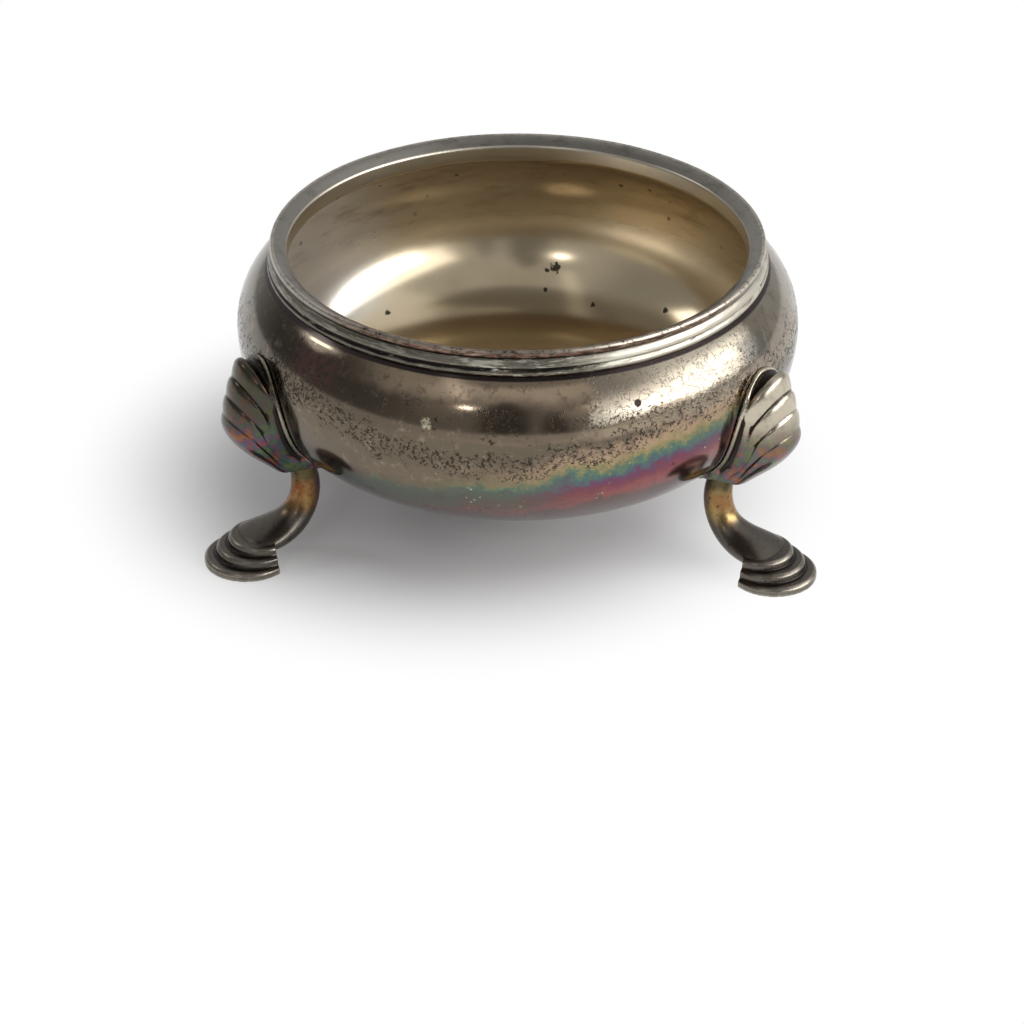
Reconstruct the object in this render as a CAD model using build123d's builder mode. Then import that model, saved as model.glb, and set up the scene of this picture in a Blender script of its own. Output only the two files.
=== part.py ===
from build123d import *

import os
from dataclasses import dataclass
from math import acos, cos, degrees, radians, sin, sqrt, tan

# Round table salt in silver: a raised bowl with a moulded wire round its neck, on three cast legs
# with lobed shell knees and lobed shell feet. Millimetres, heights from the table, axis on Z.

# Bowl, raised from one sheet, with its lip turned out over the wire
belly_radius = 32.0
belly_height = 23.05
bowl_clearance = 7.3
floor_slope = 9.0
shoulder_in = 3.5
shoulder_rise = 7.05
sheet_wall = 0.9
lip_rise = 3.2
lip_bend = 0.55
lip_flat = 0.35
lip_round = 0.2

# Moulded wire in the corner of shoulder, neck and lip: an ovolo, a cove and a reed
moulding_width = 1.55
ovolo_height = 0.65
ovolo_out = 0.25
ovolo_swell = 0.08
cove_depth = 0.1
reed_height = 0.72
reed_out = 0.26
wire_set_back = 0.15

# Soldered joints
solder_gap = 0.05
socket_gap = 0.08

# Legs, spread evenly round the bowl
leg_rear_angle = 90.0
leg_apart_angle = 120.0
ankle_inset = 4.75
ankle_drop = 2.2
shank_thickness = 3.0
shank_width = 3.0
calf_height = 6.9
calf_bow = 0.1
calf_thickness = 3.4
calf_width = 3.3
arch_height = 4.5
arch_out = 1.15
arch_width = 4.2
heel_out = 5.15
instep_height = 3.05
instep_in = 1.2
instep_thickness = 3.2
instep_width = 6.0
tongue_height = 2.75
tongue_root = 1.0
tongue_thickness = 2.3
tongue_width = 6.6
tongue_length = 3.5
tongue_drop = 0.9

# Shell foot: lobes from one straight heel, each shorter than the one under it
foot_lobe_count = 3
foot_lobe_rise = 1.05
foot_lobe_overlap = 0.12
foot_lobe_bevel = 0.34
foot_heel_width = 9.0
foot_heel_inset = 0.4
foot_length = 6.95
foot_toe_inset = 1.45

# Shell knee: a ribbed border that lies on the bowl, and lobes side by side that lean out from the ankle
knee_lobe_foot = 1.0
knee_rib_foot = 0.4
knee_rib_count = 2
knee_rib_rise = 0.45
knee_rib_inset = 0.65
knee_border_root = 3.8
knee_border_width = 9.4
knee_border_widest = 9.5
knee_border_length = 15.4
knee_lobe_count = 4
knee_first_root_in = 0.65
knee_last_root_out = 1.6
knee_root_width = 3.4
knee_root_thickness = 1.7
knee_first_angle = 63.5
knee_last_angle = 50.5
knee_first_length = 17.0
knee_last_length = 11.5
knee_first_width = 8.2
knee_last_width = 6.8
knee_lobe_thickness = 3.5
knee_widest_ratio = 0.74
knee_section_ratios = (0, 0.37, 0.74, 0.9, 0.98)

# Sizes that follow from those above
seat_radius = belly_radius - shoulder_in
neck_radius = seat_radius - moulding_width
lip_height = belly_height + shoulder_rise + lip_rise
bend_center = (neck_radius + lip_bend, lip_height - sheet_wall - lip_bend)
lip_radius = bend_center[0] + lip_flat
shoulder_radius = (shoulder_in**2 + shoulder_rise**2) / (2 * shoulder_in)
shoulder_center = (belly_radius - shoulder_radius, belly_height)
floor_ratio = tan(radians(floor_slope) / 2)
belly_depth = belly_height - bowl_clearance
bilge_radius = (belly_depth - belly_radius * floor_ratio) / (1 - floor_ratio)
bilge_center = (belly_radius - bilge_radius, belly_height)
floor_radius = bilge_radius + (belly_radius - bilge_radius) / sin(radians(floor_slope))
floor_center = (0, bowl_clearance + floor_radius)
leg_angles = {
    "right": leg_rear_angle - leg_apart_angle,
    "left": leg_rear_angle + leg_apart_angle,
    "rear": leg_rear_angle,
}
ankle_radius = belly_radius - ankle_inset
bowl_above_ankle = belly_height - sqrt(bilge_radius**2 - (ankle_radius - bilge_center[0]) ** 2)
ankle_height = bowl_above_ankle - ankle_drop
leg_top = bowl_above_ankle + shank_thickness
heel_radius = ankle_radius + heel_out
tongue_tip = Vector(heel_radius + tongue_length, 0, tongue_height - tongue_drop)


def shoulder_angle(inset, radius):
    """Angle on the shoulder arc, moved inwards by inset, where it comes to a radius."""
    return degrees(acos((radius - shoulder_center[0]) / (shoulder_radius - inset)))


def shoulder_height(inset, radius):
    """Height of the shoulder, moved inwards by inset, at a radius."""
    return belly_height + sqrt((shoulder_radius - inset) ** 2 - (radius - shoulder_center[0]) ** 2)


def belly_arcs(inset):
    """Floor, bilge and shoulder of the bowl up to its neck, moved inwards by inset, as edges."""
    with BuildLine() as arcs:
        CenterArc(floor_center, floor_radius - inset, -90, floor_slope)
        CenterArc(bilge_center, bilge_radius - inset, floor_slope - 90, 90 - floor_slope)
        CenterArc(shoulder_center, shoulder_radius - inset, 0, shoulder_angle(inset, neck_radius - inset))
    return arcs.edges()


# Bowl
with BuildPart() as bowl:
    with BuildSketch(Plane.XZ):
        with BuildLine():
            add(belly_arcs(0))
            Polyline(
                (neck_radius, shoulder_height(0, neck_radius)),
                (neck_radius, bend_center[1]),
                (bend_center[0], lip_height - sheet_wall),
                (lip_radius, lip_height - sheet_wall),
            )
            SagittaArc((lip_radius, lip_height - sheet_wall), (lip_radius, lip_height), -lip_round)
            Line((lip_radius, lip_height), (bend_center[0], lip_height))
            CenterArc(bend_center, lip_bend + sheet_wall, 90, 90)
            throat = neck_radius - sheet_wall
            Line((throat, bend_center[1]), (throat, shoulder_height(sheet_wall, throat)))
            add(belly_arcs(sheet_wall))
            Line((0, bowl_clearance), (0, bowl_clearance + sheet_wall))
        make_face()
    revolve(axis=Axis.Z)
bowl.part.label = "bowl"


def belly_space(film):
    """Space that the bowl's belly takes up, with a film of a given thickness round it."""
    with BuildPart() as space:
        with BuildSketch(Plane.XZ):
            with BuildLine():
                add(belly_arcs(-film))
                Polyline(
                    (neck_radius + film, shoulder_height(-film, neck_radius + film)),
                    (0, lip_height),
                    (0, bowl_clearance - film),
                )
            make_face()
        revolve(axis=Axis.Z)
    return space.part


# Moulded wire round the neck
with BuildPart() as rim_moulding:
    wire_inside = neck_radius + solder_gap
    wire_top = lip_height - sheet_wall - solder_gap
    reed_root = seat_radius - wire_set_back - reed_out
    reed_foot = shoulder_height(-solder_gap, reed_root)
    reed_angle = shoulder_angle(-solder_gap, reed_root)
    ovolo_foot = (lip_radius + lip_round + ovolo_out, wire_top - ovolo_height)
    with BuildSketch(Plane.XZ):
        with BuildLine():
            CenterArc(
                shoulder_center,
                shoulder_radius + solder_gap,
                reed_angle,
                shoulder_angle(-solder_gap, wire_inside) - reed_angle,
            )
            Polyline(
                (wire_inside, shoulder_height(-solder_gap, wire_inside)),
                (wire_inside, bend_center[1] - solder_gap),
                (bend_center[0] + solder_gap, wire_top),
                (lip_radius, wire_top),
            )
            SagittaArc((lip_radius, wire_top), ovolo_foot, ovolo_swell)
            SagittaArc(ovolo_foot, (reed_root, reed_foot + reed_height), -cove_depth)
            SagittaArc((reed_root, reed_foot + reed_height), (reed_root, reed_foot), reed_out)
        make_face()
    revolve(axis=Axis.Z)
rim_moulding.part.label = "rim_moulding"


# Shell foot, its lobes getting shorter towards the top
foot_lobes = []
for index in range(foot_lobe_count):
    heel_half = foot_heel_width / 2 - index * foot_heel_inset
    toe_radius = heel_radius + foot_length - index * foot_toe_inset
    lobe_foot = max(0, index * foot_lobe_rise - foot_lobe_overlap)
    lobe_head = (index + 1) * foot_lobe_rise
    with BuildPart() as foot_lobe:
        with BuildSketch(Plane.XY.offset(lobe_foot)):
            with BuildLine():
                ThreePointArc((heel_radius, -heel_half), (toe_radius, 0), (heel_radius, heel_half))
                Line((heel_radius, heel_half), (heel_radius, -heel_half))
            make_face()
        extrude(amount=lobe_head - lobe_foot)
        chamfer(foot_lobe.edges().filter_by(GeomType.CIRCLE).sort_by(Axis.Z)[-1], foot_lobe_bevel)
    foot_lobes.append(foot_lobe.part)


@dataclass
class LegStation:
    """One cross section of the leg: where its middle is, and how thick and wide it is."""

    radius: float
    height: float
    thickness: float
    width: float


leg_stations = [
    LegStation(ankle_radius, leg_top, shank_thickness, shank_width),
    LegStation(ankle_radius, ankle_height, shank_thickness, shank_width),
    LegStation(ankle_radius - calf_bow, calf_height, calf_thickness, calf_width),
    LegStation(ankle_radius + arch_out, arch_height, calf_thickness, arch_width),
    LegStation(heel_radius - instep_in, instep_height, instep_thickness, instep_width),
    LegStation(heel_radius + tongue_root, tongue_height, tongue_thickness, tongue_width),
]


def leg_body(extra):
    """Leg from inside the bowl down to its tongue, its sections made larger by extra all round."""
    middles = [Vector(s.radius, 0, s.height) for s in leg_stations]
    with BuildLine():
        path = Spline(*middles, tongue_tip)
    sections = []
    for middle, s in zip(middles, leg_stations):
        with BuildSketch(Plane(middle, x_dir=(0, 1, 0), z_dir=path.tangent_at(middle))) as section:
            Ellipse(s.width / 2 + extra, s.thickness / 2 + extra)
        sections.append(section.sketch)
    loft(sections + [Vertex(tongue_tip)])


# Leg, cut off where it meets the bowl
with BuildPart() as leg:
    leg_body(0)
    add(foot_lobes)
    add(belly_space(solder_gap), mode=Mode.SUBTRACT)


def lobe_swell(place, root, full):
    """Size of a knee lobe at a place on its length: its root size, its full size, then nothing."""
    if place < knee_widest_ratio:
        return root + place / knee_widest_ratio * (full - root)
    return full * sqrt(1 - ((place - knee_widest_ratio) / (1 - knee_widest_ratio)) ** 2)


def knee_lobe(root, angle, length, width):
    """One lobe of the knee: a rounded drop that starts beside the ankle and leans out at an angle."""
    start = Vector(ankle_radius + root, 0, ankle_height)
    along = Vector(cos(radians(angle)), 0, sin(radians(angle)))
    sections = []
    for place in knee_section_ratios:
        with BuildSketch(Plane(start + along * length * place, x_dir=(0, 1, 0), z_dir=along)) as section:
            Ellipse(
                lobe_swell(place, knee_root_width, width) / 2,
                lobe_swell(place, knee_root_thickness, knee_lobe_thickness) / 2,
            )
        sections.append(section.sketch)
    loft(sections + [Vertex(start + along * length)])


def knee_rib(inset, rise):
    """One rib of the border: a thin leaf on the bowl, its outline moved in by inset."""
    foot = ankle_height + knee_rib_foot
    half_root = (knee_border_root - inset) / 2
    half_width = knee_border_width / 2 - inset
    head = ankle_height + knee_border_length - inset
    waist = ankle_height + knee_border_widest
    with BuildPart() as leaf:
        with BuildSketch(Plane.YZ):
            with BuildLine():
                EllipticalCenterArc((0, waist), half_width, head - waist, start_angle=0, arc_size=180)
                Spline(
                    (half_root, foot),
                    (half_width, waist),
                    tangents=(((half_width - half_root) / 2, waist - foot), (0, 1)),
                )
                Spline(
                    (-half_root, foot),
                    (-half_width, waist),
                    tangents=(((half_root - half_width) / 2, waist - foot), (0, 1)),
                )
                Line((-half_root, foot), (half_root, foot))
            make_face()
        extrude(amount=2 * belly_radius)
        add(belly_space(solder_gap + rise), mode=Mode.INTERSECT)
    return leaf.part


def spread(first, last, index):
    """Value of one knee lobe in an even row from the first to the last."""
    return first + index / (knee_lobe_count - 1) * (last - first)


# Shell knee, cut to fit over the leg and against the bowl
with BuildPart() as leg_space:
    leg_body(socket_gap)
with BuildPart() as knee_lobes:
    for index in range(knee_lobe_count):
        knee_lobe(
            spread(-knee_first_root_in, knee_last_root_out, index),
            spread(knee_first_angle, knee_last_angle, index),
            spread(knee_first_length, knee_last_length, index),
            spread(knee_first_width, knee_last_width, index),
        )
    split(bisect_by=Plane.XY.offset(ankle_height + knee_lobe_foot), keep=Keep.TOP)
with BuildPart() as knee_shell:
    for index in range(knee_rib_count):
        add(knee_rib(index * knee_rib_inset, (index + 1) * knee_rib_rise))
    add(knee_lobes.part)
    add(belly_space(solder_gap), mode=Mode.SUBTRACT)
    add(leg_space.part, mode=Mode.SUBTRACT)

os.makedirs("parts", exist_ok=True)
export_step(bowl.part, "parts/bowl.step")
export_step(rim_moulding.part, "parts/rim_moulding.step")
for side, angle in leg_angles.items():
    for kind, source in {"leg": leg, "knee_shell": knee_shell}.items():
        with BuildPart() as placed:
            with Locations(Location((0, 0, 0), (0, 0, angle))):
                add(source.part)
        placed.part.label = f"{kind}_{side}"
        export_step(placed.part, f"parts/{kind}_{side}.step")
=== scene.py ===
"""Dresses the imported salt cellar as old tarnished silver, standing on a white studio floor."""

import logging
import math
from dataclasses import dataclass
from enum import Enum
from typing import Any, Callable, Dict, List, Mapping, Optional, Sequence, Tuple, Union

import bmesh
import bpy
import numpy
from mathutils import Matrix, Vector, noise
from mathutils.bvhtree import BVHTree


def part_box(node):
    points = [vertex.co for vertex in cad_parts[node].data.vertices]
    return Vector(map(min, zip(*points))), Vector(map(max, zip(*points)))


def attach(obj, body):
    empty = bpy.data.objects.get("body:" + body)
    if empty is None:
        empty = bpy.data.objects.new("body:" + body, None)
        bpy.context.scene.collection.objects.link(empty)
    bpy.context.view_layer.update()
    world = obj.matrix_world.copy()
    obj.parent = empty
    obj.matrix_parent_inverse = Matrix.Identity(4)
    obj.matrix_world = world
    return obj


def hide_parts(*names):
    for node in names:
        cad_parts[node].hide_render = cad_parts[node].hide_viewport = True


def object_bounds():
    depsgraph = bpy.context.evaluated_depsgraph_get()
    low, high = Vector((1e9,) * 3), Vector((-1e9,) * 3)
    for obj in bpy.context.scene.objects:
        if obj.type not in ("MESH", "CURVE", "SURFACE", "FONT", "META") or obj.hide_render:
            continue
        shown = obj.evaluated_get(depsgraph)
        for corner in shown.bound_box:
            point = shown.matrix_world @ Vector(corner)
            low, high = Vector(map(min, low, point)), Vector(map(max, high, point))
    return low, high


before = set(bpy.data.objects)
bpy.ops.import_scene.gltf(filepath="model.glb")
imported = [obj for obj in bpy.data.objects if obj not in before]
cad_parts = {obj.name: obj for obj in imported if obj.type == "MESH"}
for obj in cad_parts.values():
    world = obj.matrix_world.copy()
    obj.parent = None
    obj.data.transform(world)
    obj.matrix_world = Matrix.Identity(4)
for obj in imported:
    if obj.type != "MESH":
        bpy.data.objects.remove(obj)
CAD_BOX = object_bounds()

LOG = logging.getLogger("salt_cellar")
MM = 0.001
RELIEF = "relief"
NECK_RADIUS = 28.3

Colour = Tuple[float, float, float]
Stops = Tuple[Tuple[float, Colour], ...]
Spot = Tuple[float, float, float]
Point = Tuple[float, float]
Range = Tuple[float, float]  # where a mask is 0, and where it is 1
Span = Tuple[float, float, float]  # between which values a mask is 1, and over how much it fades out


class Side(Enum):
    """The three places where a leg stands, by the names that the CAD nodes end with."""

    RIGHT = "right"
    LEFT = "left"
    REAR = "rear"


class Slot(Enum):
    """Names of the material slots."""

    BOWL = "bowl_silver"
    WIRE = "wire_silver"
    KNEE = "knee_silver"
    LEG = "leg_silver"


def srgb(red: int, green: int, blue: int) -> Colour:
    """Turns a colour as a screen shows it into the linear one that a shader takes.

    Args:
        red: Red, 0 to 255.
        green: Green, 0 to 255.
        blue: Blue, 0 to 255.

    Returns:
        The linear colour.
    """

    def linear(level: int) -> float:
        """One channel, made linear."""
        share = level / 255
        return share / 12.92 if share <= 0.04045 else ((share + 0.055) / 1.055) ** 2.4

    return linear(red), linear(green), linear(blue)


class Wire:
    """A shader socket that can be used in sums, each of which adds a Math node."""

    def __init__(self, graph: "Graph", socket: bpy.types.NodeSocket) -> None:
        """Keeps the graph and the socket."""
        self.graph = graph
        self.socket = socket

    def __add__(self, other: "Number") -> "Wire":
        """Sum."""
        return self.graph.math("ADD", self, other)

    def __sub__(self, other: "Number") -> "Wire":
        """Difference."""
        return self.graph.math("SUBTRACT", self, other)

    def __rsub__(self, other: "Number") -> "Wire":
        """Difference, the other way round."""
        return self.graph.math("SUBTRACT", other, self)

    def __mul__(self, other: "Number") -> "Wire":
        """Product."""
        return self.graph.math("MULTIPLY", self, other)

    def __truediv__(self, other: "Number") -> "Wire":
        """Quotient."""
        return self.graph.math("DIVIDE", self, other)

    def __rtruediv__(self, other: "Number") -> "Wire":
        """Quotient, the other way round."""
        return self.graph.math("DIVIDE", other, self)

    __radd__ = __add__
    __rmul__ = __mul__

    def above(self, low: float, high: float) -> "Wire":
        """Mask that rises smoothly from 0 at low to 1 at high, or falls if low is the larger.

        Args:
            low: Where the mask is 0.
            high: Where the mask is 1.

        Returns:
            The mask.
        """
        rising = low < high
        node = self.graph.node(
            "ShaderNodeMapRange",
            {"interpolation_type": "SMOOTHSTEP"},
            {
                "Value": self,
                "From Min": min(low, high),
                "From Max": max(low, high),
                "To Min": 0.0 if rising else 1.0,
                "To Max": 1.0 if rising else 0.0,
            },
        )
        return self.graph.out(node, "Result")

    def within(self, low: float, high: float, soft: float) -> "Wire":
        """Mask that is 1 between two values and fades out over soft on both sides."""
        return self.above(low - soft, low) * self.above(high + soft, high)


Number = Union[Wire, float]
Shade = Union[Wire, Colour]


class Graph:
    """The node tree of one material or of the world."""

    def __init__(self, tree: bpy.types.NodeTree) -> None:
        """Empties the tree and keeps it."""
        self.tree = tree
        tree.nodes.clear()

    def node(
        self,
        kind: str,
        settings: Optional[Mapping[str, Any]] = None,
        sockets: Optional[Mapping[Union[str, int], Any]] = None,
    ) -> bpy.types.Node:
        """Adds one node.

        Args:
            kind: The node's type.
            settings: Properties that are set first. "stops" holds a ramp's places and colours.
            sockets: Values or links for its inputs, by name or number.

        Returns:
            The node.
        """
        made = self.tree.nodes.new(kind)
        for name, value in (settings or {}).items():
            if name == "stops":
                self._set_stops(made.color_ramp, value)
            else:
                setattr(made, name, value)
        for name, value in (sockets or {}).items():
            socket = made.inputs[name]
            if isinstance(value, Wire):
                self.tree.links.new(value.socket, socket)
            elif isinstance(value, tuple) and socket.type == "RGBA":
                socket.default_value = (*value, 1.0)
            else:
                socket.default_value = value
        return made

    @staticmethod
    def _set_stops(ramp: bpy.types.ColorRamp, stops: Stops) -> None:
        """Gives a colour ramp its stops.

        Args:
            ramp: The ramp.
            stops: Places from 0 to 1, with their colours.
        """
        while len(ramp.elements) < len(stops):
            ramp.elements.new(1.0)
        for element, (place, colour) in zip(ramp.elements, stops):
            element.position = place
            element.color = (*colour, 1.0)

    def out(self, node: bpy.types.Node, name: Union[str, int] = 0) -> Wire:
        """Wraps one output of a node."""
        return Wire(self, node.outputs[name])

    def math(self, operation: str, first: Number, second: Number = 0.0) -> Wire:
        """Adds a Math node and wraps its result."""
        return self.out(self.node("ShaderNodeMath", {"operation": operation}, {0: first, 1: second}))

    def mix(self, share: Number, low: Shade, high: Shade) -> Wire:
        """Mixes two colours.

        Args:
            share: How much of the second colour shows.
            low: First colour.
            high: Second colour.

        Returns:
            The mixed colour.
        """
        node = self.node(
            "ShaderNodeMix",
            {"data_type": "RGBA", "blend_type": "MIX", "clamp_factor": True},
            {0: share, 6: low, 7: high},
        )
        return self.out(node, 2)


@dataclass(frozen=True)
class Pattern:
    """A cloudy pattern.

    Attributes:
        size: Size of its patches in millimetres.
        detail: How many finer layers it has.
        rough: How strong those are.
        shift: Moves it, so that two of one size differ.
        stretch: How much closer it lies along each axis.
    """

    size: float
    detail: float = 2.0
    rough: float = 0.5
    shift: float = 0.0
    stretch: Spot = (1.0, 1.0, 1.0)


@dataclass(frozen=True)
class Streaks:
    """A cloudy pattern drawn out round the object.

    Attributes:
        length: Length of its patches in millimetres, on a ring as wide as the neck.
        thick: Their height in millimetres.
        shift: Moves it, so that two of one size differ.
        detail: How many finer layers it has.
        rough: How strong those are.
    """

    length: float
    thick: float
    shift: float
    detail: float = 4.0
    rough: float = 0.65


class Surface(Graph):
    """A material's graph, with the place on the object in millimetres and the colour laid on so far."""

    def __init__(self, name: str, base: Colour = (0.0, 0.0, 0.0)) -> None:
        """Makes the material and reads where on the object a point is.

        Args:
            name: Name of the material.
            base: Colour under all others.
        """
        self.material = bpy.data.materials.new(name)
        self.material.use_nodes = True
        self.colour: Shade = base
        super().__init__(self.material.node_tree)
        coords = self.node("ShaderNodeTexCoord")
        scaled = self.node(
            "ShaderNodeVectorMath",
            {"operation": "SCALE"},
            {0: self.out(coords, "Object"), "Scale": 1 / MM},
        )
        self.place = self.out(scaled)
        split = self.node("ShaderNodeSeparateXYZ", sockets={0: self.place})
        self.across, deep, self.height = (self.out(split, axis) for axis in "XYZ")
        self.radius = self.math("SQRT", self.across * self.across + deep * deep)
        self.turn = self.math("ARCTAN2", self.across, deep * -1.0) * math.degrees(1.0)

    def lay(self, share: Number, colour: Shade) -> None:
        """Lays a share of a colour over what is there."""
        self.colour = self.mix(share, self.colour, colour)

    def noise(self, pattern: Pattern) -> Wire:
        """Value of a cloudy pattern.

        Args:
            pattern: The pattern.

        Returns:
            The value, from 0 to 1.
        """
        moved = self.node(
            "ShaderNodeMapping",
            sockets={"Vector": self.place, "Location": (pattern.shift,) * 3, "Scale": pattern.stretch},
        )
        return self.cloudy(self.out(moved), 1 / pattern.size, pattern)

    def streaks(self, streaks: Streaks) -> Wire:
        """Value of a pattern drawn out round the object.

        Args:
            streaks: The pattern.

        Returns:
            The value, from 0 to 1.
        """
        along = self.turn * (math.radians(NECK_RADIUS) / streaks.length)
        way = self.node(
            "ShaderNodeCombineXYZ", sockets={0: along, 1: streaks.shift, 2: self.height / streaks.thick}
        )
        return self.cloudy(self.out(way), 1.0, streaks)

    def cloudy(self, place: Wire, scale: float, pattern: Union[Pattern, Streaks]) -> Wire:
        """Adds a noise texture.

        Args:
            place: Where it is read.
            scale: How close its patches lie.
            pattern: Its finer layers.

        Returns:
            Its value, from 0 to 1.
        """
        layers = {"Detail": pattern.detail, "Roughness": pattern.rough}
        node = self.node("ShaderNodeTexNoise", sockets={"Vector": place, "Scale": scale, **layers})
        return self.out(node, "Fac")

    def specks(self, size: float, shift: float) -> Wire:
        """Distance from the middle of the nearest speck.

        Args:
            size: Distance between specks in millimetres.
            shift: Moves them, so that two rows of one size differ.

        Returns:
            The distance, in sizes of a speck.
        """
        sockets = {"Vector": self.place, "Location": (shift,) * 3}
        moved = self.node("ShaderNodeMapping", sockets=sockets)
        node = self.node("ShaderNodeTexVoronoi", sockets={"Vector": self.out(moved), "Scale": 1 / size})
        return self.out(node, "Distance")

    def distance(self, spot: Spot) -> Wire:
        """Distance from one spot of the object, in millimetres."""
        node = self.node("ShaderNodeVectorMath", {"operation": "DISTANCE"}, {0: self.place, 1: spot})
        return self.out(node, "Value")

    def ramp(self, share: Number, stops: Stops) -> Wire:
        """Colour at a share of a row of colours."""
        return self.out(self.node("ShaderNodeValToRGB", {"stops": stops}, {0: share}), "Color")

    def relief(self) -> Wire:
        """How far a point stands out of the surface round it, in millimetres; below 0 in grooves."""
        return self.out(self.node("ShaderNodeAttribute", {"attribute_name": RELIEF}), "Fac")

    def metal(
        self, rough: Number, relief: Number, depth: float, metallic: float = 1.0
    ) -> bpy.types.Material:
        """Ends the graph as a metal in the colour laid on.

        Args:
            rough: Roughness.
            relief: Height pattern for the fine relief, from 0 to 1.
            depth: Height of that relief in millimetres.
            metallic: Share of metal that shows through a dull film.

        Returns:
            The material.
        """
        bump = self.node(
            "ShaderNodeBump", sockets={"Strength": 1.0, "Distance": depth * MM, "Height": relief}
        )
        shader = self.node(
            "ShaderNodeBsdfPrincipled",
            sockets={
                "Base Color": self.colour,
                "Metallic": metallic,
                "Roughness": rough,
                "Normal": self.out(bump),
            },
        )
        self.node("ShaderNodeOutputMaterial", sockets={"Surface": self.out(shader)})
        return self.material


# In the finishes, places are in millimetres and turns in degrees from the front towards the right.
# The bare numbers in their methods are shares of a mix, limits within a pattern, and how far a
# pattern pushes an edge about.
@dataclass(frozen=True)
class BowlFinish:
    """Outside of the bowl: tarnish, crooked specks, a crazed bright patch, a band of colours, a painted
    reflection of the camera, a worn ding with a painted highlight, a painted glint and painted shade
    under the neck wire.
    """

    # colours
    width: float = 64.0
    sides: Stops = (
        (0.02, srgb(124, 119, 111)),
        (0.1, srgb(76, 69, 60)),
        (0.3, srgb(95, 86, 74)),
        (0.5, srgb(150, 130, 110)),
        (0.75, srgb(160, 145, 126)),
        (0.97, srgb(154, 146, 133)),
    )
    top: Colour = srgb(196, 174, 149)
    dark: Colour = srgb(100, 90, 78)
    bronze: Colour = srgb(108, 98, 84)
    bronze_light: Colour = srgb(170, 156, 134)
    base: Colour = srgb(82, 72, 68)
    bruise: Colour = srgb(116, 88, 83)
    moss: Colour = srgb(92, 102, 84)
    clean: Colour = srgb(146, 136, 121)
    worn: Colour = srgb(190, 180, 162)
    ash: Colour = srgb(116, 113, 107)
    soot: Colour = srgb(38, 34, 30)
    scratch_and_glint: Colour = srgb(206, 198, 172)
    joint_shade: Colour = srgb(74, 65, 64)
    colours: Stops = (
        (0.0, srgb(100, 80, 76)),
        (0.14, srgb(144, 84, 82)),
        (0.26, srgb(124, 66, 80)),
        (0.35, srgb(108, 74, 100)),
        (0.42, srgb(88, 104, 110)),
        (0.49, srgb(92, 122, 104)),
        (0.57, srgb(150, 138, 98)),
        (0.68, srgb(186, 157, 132)),
    )

    # patterns
    wander: Pattern = Pattern(6.0, 3.0, 0.6)
    cloud: Pattern = Pattern(9.0, 4.0, 0.6, 3.0)
    fine: Pattern = Pattern(0.9, 4.0, 0.7, 9.0)
    grit: Pattern = Pattern(1.6, 5.0, 0.75, 55.0)
    mottle: Pattern = Pattern(1.4, 6.0, 0.85, 15.0)
    blotch: Pattern = Pattern(4.5, 4.0, 0.65, 65.0)
    craze: Pattern = Pattern(1.1, 3.0, 0.6, 4.0)
    dust: Pattern = Pattern(0.4, 3.0, 0.7, 90.0)
    worm: Pattern = Pattern(0.6, 2.0, 0.6, 40.0)
    breaks: Pattern = Pattern(0.5, 2.0, 0.6, 70.0)
    clump: Pattern = Pattern(2.0, 3.0, 0.6, 80.0)
    scratched: Pattern = Pattern(4.0, shift=50.0)

    # film of tarnish, with a dark shape in front that is a painted reflection of the camera
    top_across: Span = (-10.0, 6.0, 8.0)
    top_height: Range = (27.6, 28.8)
    reflection_crest_across: Span = (-3.0, 2.5, 3.0)
    reflection_crest_rise: float = 1.5
    reflection_across: Span = (-24.0, 7.0, 5.0)
    reflection_top: Range = (28.0, 26.0)
    reflection_foot: Range = (23.9, 24.7)
    bronze_across: Range = (-29.0, -22.0)
    base_height: Range = (18.5, 15.5)
    bruise_turn: Span = (-47.0, -40.0, 5.0)
    bruise_height: Span = (27.0, 28.6, 1.0)

    # band of colours
    band_middle: float = 19.5
    band_reach: float = 11.0
    band_share: float = 0.46
    band_climb: float = 0.17
    climb_start: float = 10.0
    fall_start: float = 4.0
    sag: float = 1.6
    sag_across: Span = (-18.0, 0.0, 9.0)
    strong_across: Range = (-12.0, 9.0)
    golden_across: Range = (12.0, -6.0)
    moss_across: Span = (-22.0, 2.0, 7.0)
    front_turn: Span = (-75.0, 44.0, 16.0)

    # bright patch and the ash beside it
    patch_turn: Span = (21.0, 56.0, 6.0)
    patch_height: Span = (26.9, 31.0, 0.5)
    tail_turn: Span = (17.0, 28.0, 5.0)
    tail_drop: float = 0.9
    tail_height: Range = (27.6, 26.6)
    worn_height: Range = (27.6, 29.2)
    worn_turn: Range = (26.0, 40.0)
    ash_turn: Span = (57.0, 65.0, 3.0)
    ash_height: Span = (26.9, 28.4, 0.6)

    # specks and soot
    course_middle: float = -1.6
    course_low: float = 21.3
    course_high: float = 24.4
    course_bend: float = 0.0085
    course_reach: Range = (2.6, 0.6)
    scatter_height: Span = (24.0, 27.5, 1.0)
    soot_turn: Span = (14.0, 50.0, 4.0)
    soot_height: Span = (25.6, 26.3, 0.35)
    edge_soot_height: Range = (29.0, 28.0)

    # single marks: a worn ding with a painted highlight, a dark dot, small scratches, a painted glint
    # and painted shade under the neck wire
    nick_highlight: Spot = (-8.33, -30.45, 25.78)
    nick_highlight_radius: Range = (1.5, 1.1)
    dot: Spot = (14.33, -27.42, 27.23)
    dot_radius: Range = (0.5, 0.35)
    scratch_size: float = 1.1
    scratch_shift: float = 6.0
    glint_turn: Span = (-47.0, -43.0, 3.0)
    glint_height: Span = (29.74, 29.88, 0.08)
    joint_shade_height: Range = (29.94, 30.06)
    relief: float = 0.012

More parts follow.
